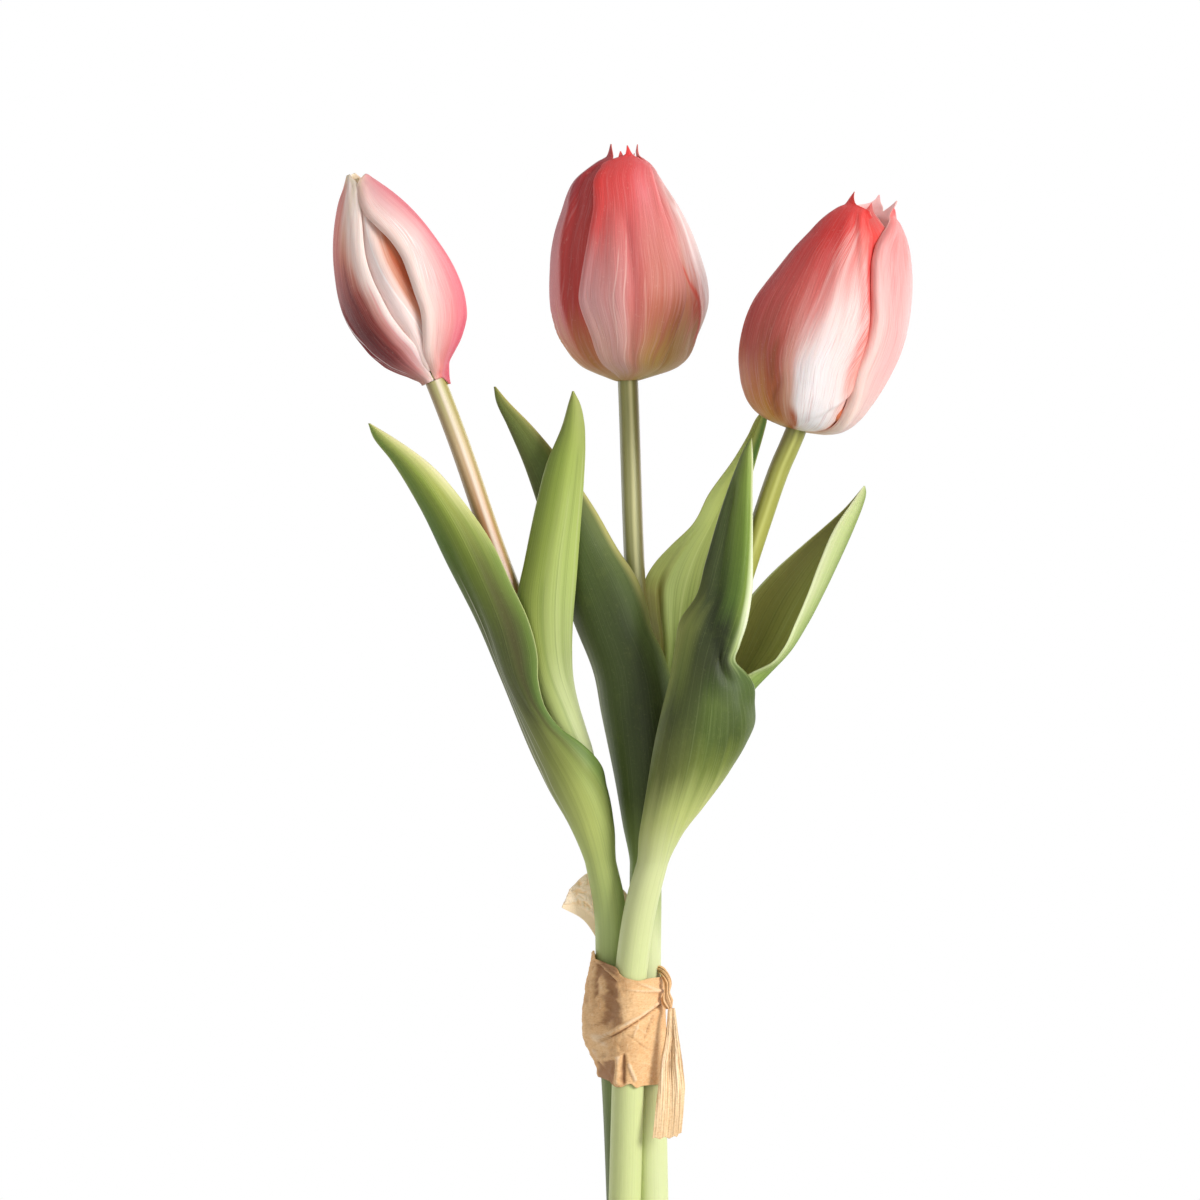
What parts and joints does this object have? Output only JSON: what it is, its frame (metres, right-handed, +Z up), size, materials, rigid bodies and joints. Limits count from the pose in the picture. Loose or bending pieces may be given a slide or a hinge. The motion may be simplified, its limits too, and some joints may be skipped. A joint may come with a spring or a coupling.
{
  "type": "artificial tulip bundle",
  "caption": "Artificial tulip stems with closed soft-touch flower heads and long sheathing leaves, tied together with a strip of kraft paper.",
  "frame": {"origin": "centre of the cut end of the front stem, at the bottom of the bundle", "axes": "+Z up along the stems to the flower heads, -Y towards the viewer of the bundle's front, +X to the viewer's right"},
  "size_m": [0.1529, 0.0714, 0.3424],
  "materials": {
    "flower_stem": "satin yellow-green soft plastic",
    "stem_wire": "bare drawn wire",
    "outer_leaf": "satin soft plastic with fine lengthwise veins",
    "inner_leaf": "satin soft plastic with fine lengthwise veins",
    "receptacle": "matt plastic",
    "left_petals": "soft-touch matt, rose edges on cream",
    "left_inner_petals": "soft-touch matt",
    "centre_petals": "soft-touch matt, coral at the tip and olive at the base",
    "centre_inner_petals": "soft-touch matt",
    "right_petals": "soft-touch matt, red at the tip and cream at the base",
    "right_inner_petals": "soft-touch matt",
    "kraft_paper": "matt brown crinkled paper"
  },
  "bodies": {
    "root": {"left_flower_stem": "flower_stem", "left_stem_wire": "stem_wire", "left_outer_leaf": "outer_leaf", "left_inner_leaf": "inner_leaf", "left_receptacle": "receptacle", "left_outer_petal_left": "left_petals", "left_outer_petal_right": "left_petals", "left_outer_petal_back": "left_petals", "left_inner_petal_front": "left_inner_petals", "left_inner_petal_right": "left_inner_petals", "left_inner_petal_left": "left_inner_petals", "centre_flower_stem": "flower_stem", "centre_stem_wire": "stem_wire", "centre_outer_leaf": "outer_leaf", "centre_inner_leaf": "inner_leaf", "centre_receptacle": "receptacle", "centre_outer_petal_front": "centre_petals", "centre_outer_petal_left": "centre_petals", "centre_outer_petal_right": "centre_petals", "centre_inner_petal_left": "centre_inner_petals", "centre_inner_petal_right": "centre_inner_petals", "centre_inner_petal_back": "centre_inner_petals", "right_flower_stem": "flower_stem", "right_stem_wire": "stem_wire", "right_outer_leaf": "outer_leaf", "right_inner_leaf": "inner_leaf", "right_receptacle": "receptacle", "right_outer_petal_front": "right_petals", "right_outer_petal_right": "right_petals", "right_outer_petal_back": "right_petals", "right_inner_petal_front": "right_inner_petals", "right_inner_petal_back": "right_inner_petals", "right_inner_petal_left": "right_inner_petals", "tie_band": "kraft_paper", "tie_knot": "kraft_paper", "tie_front_tail": "kraft_paper", "tie_back_tail": "kraft_paper"}
  },
  "joints": []
}
